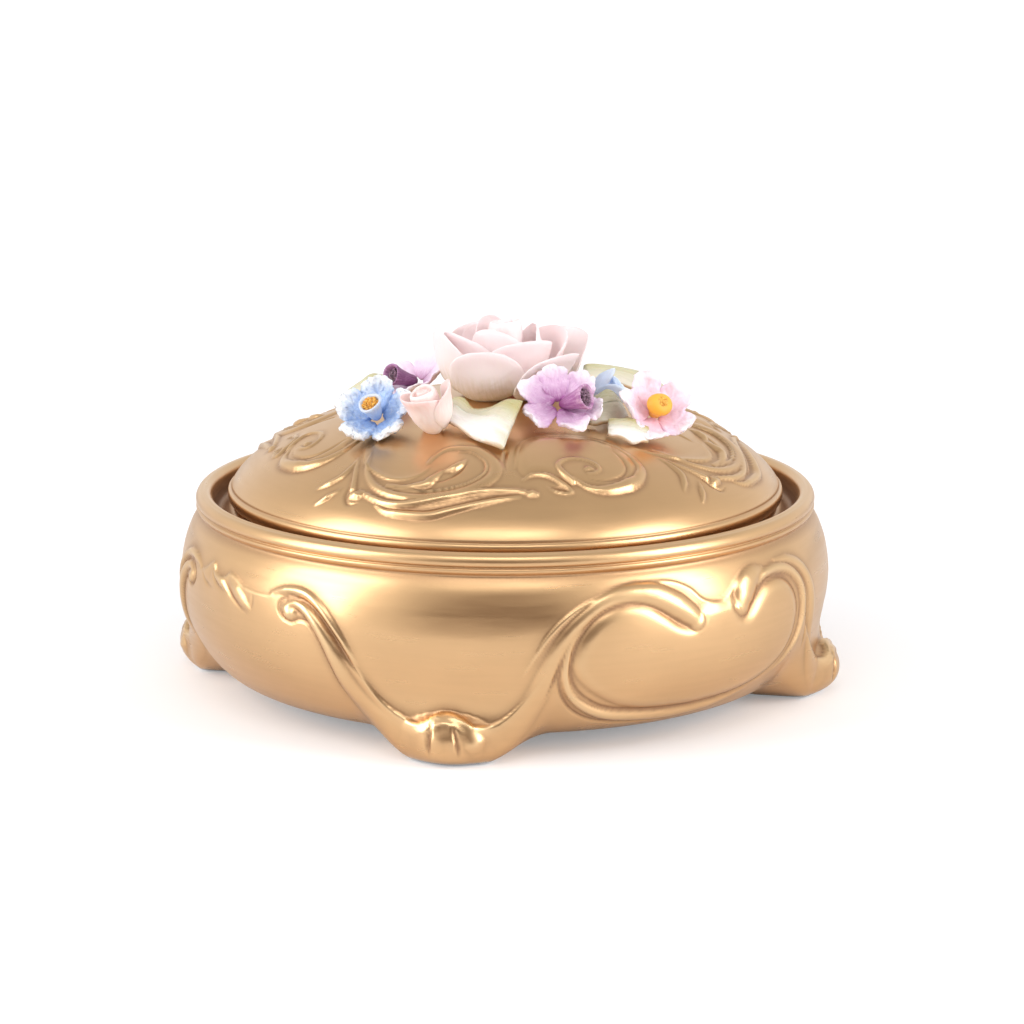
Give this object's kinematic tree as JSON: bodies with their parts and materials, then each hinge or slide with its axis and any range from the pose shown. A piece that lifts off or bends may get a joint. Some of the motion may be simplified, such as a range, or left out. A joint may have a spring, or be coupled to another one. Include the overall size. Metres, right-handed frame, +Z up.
{
  "type": "porcelain trinket box",
  "caption": "Round gilded porcelain trinket box on curled feet, with scroll relief and a loose domed lid topped by applied porcelain roses, blossoms and leaves.",
  "frame": {"origin": "on the table under the middle of the bowl, at the height of the feet's soles", "axes": "+Z up, -Y towards the front foot, the feet on the X and Y axes"},
  "size_m": [0.1574, 0.1574, 0.0855],
  "materials": {
    "gilded_porcelain": "satin gold lustre fired over a white glaze",
    "rose_pink": "matt tinted bisque",
    "bud_pink": "matt tinted bisque",
    "pale_blue": "hand-painted glaze, blue brushed over white",
    "orchid_purple": "hand-painted glaze, purple brushed over white",
    "blush_pink": "hand-painted glaze, pink brushed over white",
    "lilac": "hand-painted glaze, lilac brushed over white",
    "dark_plum": "dark speckled glaze",
    "plum": "hand-painted glaze",
    "orange": "hand-painted glaze",
    "leaf_green": "white glaze brushed with olive and ochre"
  },
  "bodies": {
    "bowl_body": {"bowl": "gilded_porcelain"},
    "lid_body": {"lid": "gilded_porcelain", "rose_heart": "rose_pink", "rose_inner_petal_1": "rose_pink", "rose_inner_petal_2": "rose_pink", "rose_inner_petal_3": "rose_pink", "rose_middle_petal_1": "rose_pink", "rose_middle_petal_2": "rose_pink", "rose_middle_petal_3": "rose_pink", "rose_middle_petal_4": "rose_pink", "rose_outer_petal_1": "rose_pink", "rose_outer_petal_2": "rose_pink", "rose_outer_petal_3": "rose_pink", "rose_outer_petal_4": "rose_pink", "rose_outer_petal_5": "rose_pink", "rosebud_heart": "bud_pink", "rosebud_wrap_1": "bud_pink", "rosebud_wrap_2": "bud_pink", "blue_blossom_petal_1": "pale_blue", "blue_blossom_petal_2": "pale_blue", "blue_blossom_petal_3": "pale_blue", "blue_blossom_petal_4": "pale_blue", "blue_blossom_petal_5": "pale_blue", "blue_blossom_tube": "pale_blue", "blue_blossom_pollen": "orange", "purple_blossom_petal_1": "orchid_purple", "purple_blossom_petal_2": "orchid_purple", "purple_blossom_petal_3": "orchid_purple", "purple_blossom_petal_4": "orchid_purple", "purple_blossom_petal_5": "orchid_purple", "purple_blossom_petal_6": "orchid_purple", "purple_blossom_tube": "plum", "purple_blossom_pollen": "dark_plum", "pink_blossom_petal_1": "blush_pink", "pink_blossom_petal_2": "blush_pink", "pink_blossom_petal_3": "blush_pink", "pink_blossom_petal_4": "blush_pink", "pink_blossom_petal_5": "blush_pink", "pink_blossom_tube": "orange", "pink_blossom_pollen": "orange", "lilac_blossom_petal_1": "lilac", "lilac_blossom_petal_2": "lilac", "lilac_blossom_petal_3": "lilac", "lilac_blossom_petal_4": "lilac", "lilac_blossom_petal_5": "lilac", "lilac_blossom_tube": "plum", "lilac_blossom_pollen": "dark_plum", "sky_blossom_petal_1": "pale_blue", "sky_blossom_petal_2": "pale_blue", "sky_blossom_petal_3": "pale_blue", "sky_blossom_petal_4": "pale_blue", "sky_blossom_petal_5": "pale_blue", "sky_blossom_tube": "pale_blue", "front_leaf": "leaf_green", "purple_side_leaf": "leaf_green", "pink_side_leaf": "leaf_green", "back_left_leaf": "leaf_green", "back_right_leaf": "leaf_green", "back_leaf": "leaf_green"}
  },
  "joints": [
    {"name": "lid_lift", "type": "slide", "parent": "bowl_body", "child": "lid_body", "axis": [0, 0, 1], "range_m": [0, 0.06]}
  ]
}
